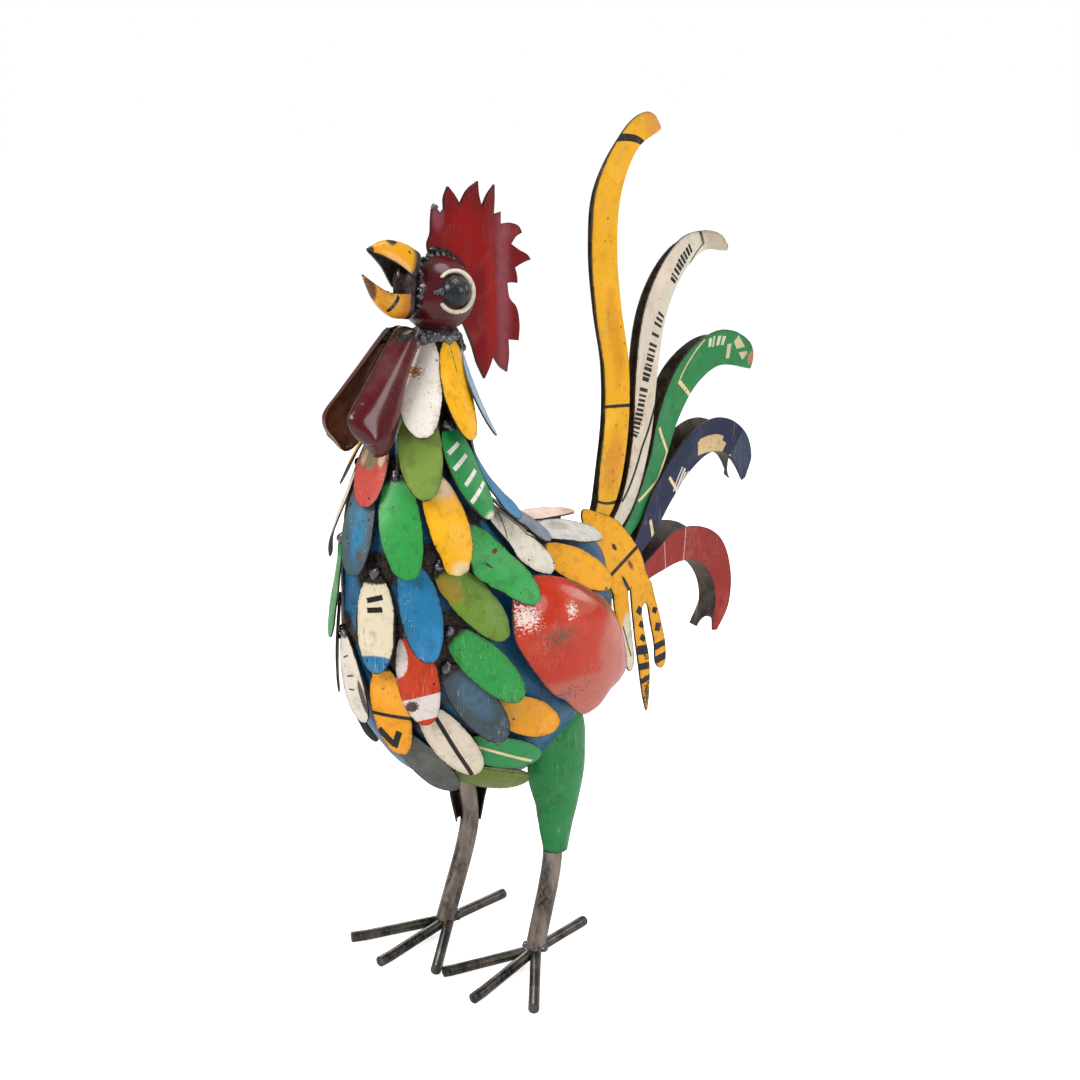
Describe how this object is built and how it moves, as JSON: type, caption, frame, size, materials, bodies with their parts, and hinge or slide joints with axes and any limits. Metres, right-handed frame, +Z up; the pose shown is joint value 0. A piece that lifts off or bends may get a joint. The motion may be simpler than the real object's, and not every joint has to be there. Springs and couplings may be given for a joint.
{
  "type": "scrap metal rooster sculpture",
  "caption": "Standing rooster sculpture welded from overlapping painted scrap-metal feathers, with a curved sheet tail and rod feet.",
  "frame": {"origin": "centre of the bounding box on the ground plane, under the rooster", "axes": "+Z up, the rooster faces -Y with its tail towards +Y, and its left side is towards +X"},
  "size_m": [0.205, 0.4964, 0.6623],
  "materials": {
    "body_blue": "worn satin paint over steel",
    "cream": "worn satin paint over steel",
    "golden": "worn satin paint over steel",
    "olive": "worn satin paint over steel",
    "green": "worn satin paint over steel",
    "teal": "worn satin paint over steel",
    "blue": "worn satin paint over steel",
    "pale_blue": "worn satin paint over steel",
    "faded_red": "worn satin paint over steel",
    "slate": "worn satin paint over steel",
    "navy": "worn satin paint over steel",
    "brick_red": "worn satin paint over steel",
    "wing_red": "glossy mottled enamel",
    "maroon": "glossy enamel",
    "comb_red": "glossy enamel",
    "thigh_green": "worn satin paint over steel",
    "bare_steel": "weathered bare steel",
    "dark_steel": "scratched dark steel"
  },
  "bodies": {
    "root": {"body": "body_blue", "head": "maroon", "comb": "comb_red", "mouth": "dark_steel", "upper_beak": "golden", "lower_beak": "golden", "left_eye_ring": "cream", "left_eyeball": "dark_steel", "left_wattle": "maroon", "left_wing": "wing_red", "left_saddle": "golden", "right_eye_ring": "cream", "right_eyeball": "dark_steel", "right_wattle": "maroon", "right_wing": "wing_red", "right_saddle": "golden", "yellow_tail_feather": "golden", "white_tail_feather": "cream", "green_tail_feather": "green", "navy_tail_feather": "navy", "red_tail_feather": "brick_red", "left_leg": "bare_steel", "left_thigh": "thigh_green", "left_middle_toe": "bare_steel", "left_back_toe": "bare_steel", "left_inner_toe": "bare_steel", "left_outer_toe": "bare_steel", "right_leg": "bare_steel", "right_thigh": "thigh_green", "right_middle_toe": "bare_steel", "right_back_toe": "bare_steel", "right_inner_toe": "bare_steel", "right_outer_toe": "bare_steel", "throat_feather_1": "faded_red", "throat_feather_2": "teal", "breast_feather_1": "cream", "breast_feather_2": "cream", "breast_feather_3": "golden", "left_collar_feather_1": "cream", "left_collar_feather_2": "golden", "left_neck_feather_1": "olive", "left_neck_feather_2": "green", "left_shoulder_feather_1": "green", "left_shoulder_feather_2": "golden", "left_shoulder_feather_3": "green", "left_back_feather_1": "cream", "left_back_feather_2": "cream", "left_back_feather_3": "golden", "left_breast_feather_1": "blue", "left_breast_feather_2": "olive", "left_flank_feather_1": "brick_red", "left_flank_feather_2": "green", "left_flank_feather_3": "slate", "left_flank_feather_4": "golden", "nape_feathers": "pale_blue", "belly_feathers": "olive", "right_neck_feathers": "golden", "right_side_feathers": "blue", "right_breast_feathers": "cream", "right_flank_feathers": "green"}
  },
  "joints": []
}
